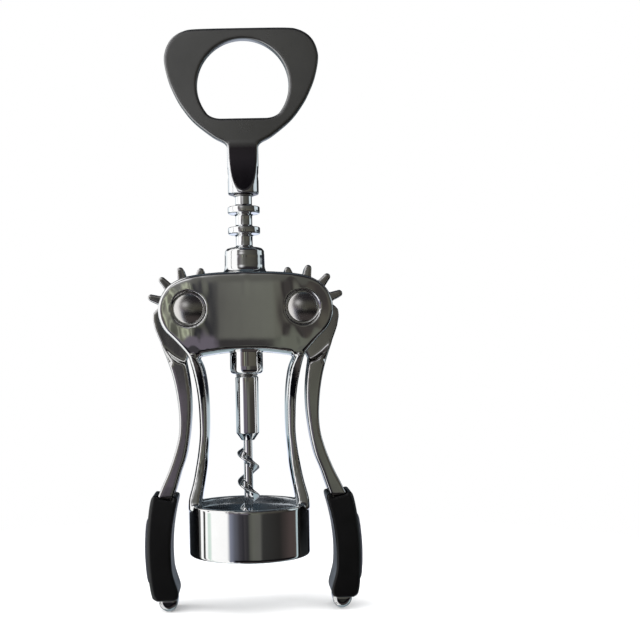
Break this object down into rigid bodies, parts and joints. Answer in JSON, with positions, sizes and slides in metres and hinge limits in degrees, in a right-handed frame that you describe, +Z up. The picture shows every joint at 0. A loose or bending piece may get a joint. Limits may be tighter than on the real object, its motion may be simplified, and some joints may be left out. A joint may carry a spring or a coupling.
{
  "type": "lever corkscrew",
  "caption": "Wing-lever corkscrew: stands on a bottle's neck, screws its worm into the cork, lifts it with two geared wing levers, and opens crown caps with its head.",
  "frame": {"origin": "on the spindle's axis in the bottom plane of the bell, where the bottle's neck enters it", "axes": "+Z up along the spindle, +X across the wings to the right, +Y from front to back"},
  "size_m": [0.0672, 0.0376, 0.1808],
  "materials": {
    "frame_chrome": "polished dark chrome on a zinc casting",
    "rivet_chrome": "polished",
    "plain_steel": "turned steel",
    "rack_chrome": "polished",
    "handle_black_nickel": "satin black nickel",
    "worm_chrome": "polished",
    "lever_chrome": "polished dark chrome on a zinc casting",
    "grip_black": "satin moulded plastic",
    "pad_rubber": "ribbed soft rubber"
  },
  "bodies": {
    "frame": {"frame": "frame_chrome", "pivot_rivet_left": "rivet_chrome", "pivot_rivet_right": "rivet_chrome", "rivet_cap_left": "rivet_chrome", "rivet_cap_right": "rivet_chrome", "pivot_washers_left": "plain_steel", "pivot_washers_right": "plain_steel"},
    "rack": {"rack_sleeve": "rack_chrome", "thrust_washer_upper": "plain_steel", "thrust_washer_lower": "plain_steel"},
    "spindle": {"opener_handle": "handle_black_nickel", "handle_pin": "plain_steel", "spindle_rod": "plain_steel", "worm_socket": "rack_chrome", "socket_pin": "plain_steel", "worm": "worm_chrome"},
    "lever_left": {"lever_left": "lever_chrome", "grip_left": "grip_black", "grip_pad_left": "pad_rubber"},
    "lever_right": {"lever_right": "lever_chrome", "grip_right": "grip_black", "grip_pad_right": "pad_rubber"}
  },
  "joints": [
    {"name": "rack_slide", "type": "slide", "parent": "frame", "child": "rack", "axis": [0, 0, -1], "range_m": [0, 0.03]},
    {"name": "handle_turn", "type": "hinge", "parent": "rack", "child": "spindle", "pos_m": [0, 0, 0.1], "axis": [0, 0, 1], "continuous": true},
    {"name": "wing_left_pivot", "type": "hinge", "parent": "frame", "child": "lever_left", "pos_m": [-0.0174, 0, 0.0762], "axis": [0, 1, 0], "range_deg": [0, 139]},
    {"name": "wing_right_pivot", "type": "hinge", "parent": "frame", "child": "lever_right", "pos_m": [0.0174, 0, 0.0762], "axis": [0, -1, 0], "range_deg": [0, 139]}
  ],
  "couplings": [
    {"joint": "wing_left_pivot", "follows": "rack_slide", "rad_per_m": 80.6},
    {"joint": "wing_right_pivot", "follows": "rack_slide", "rad_per_m": 80.6}
  ]
}
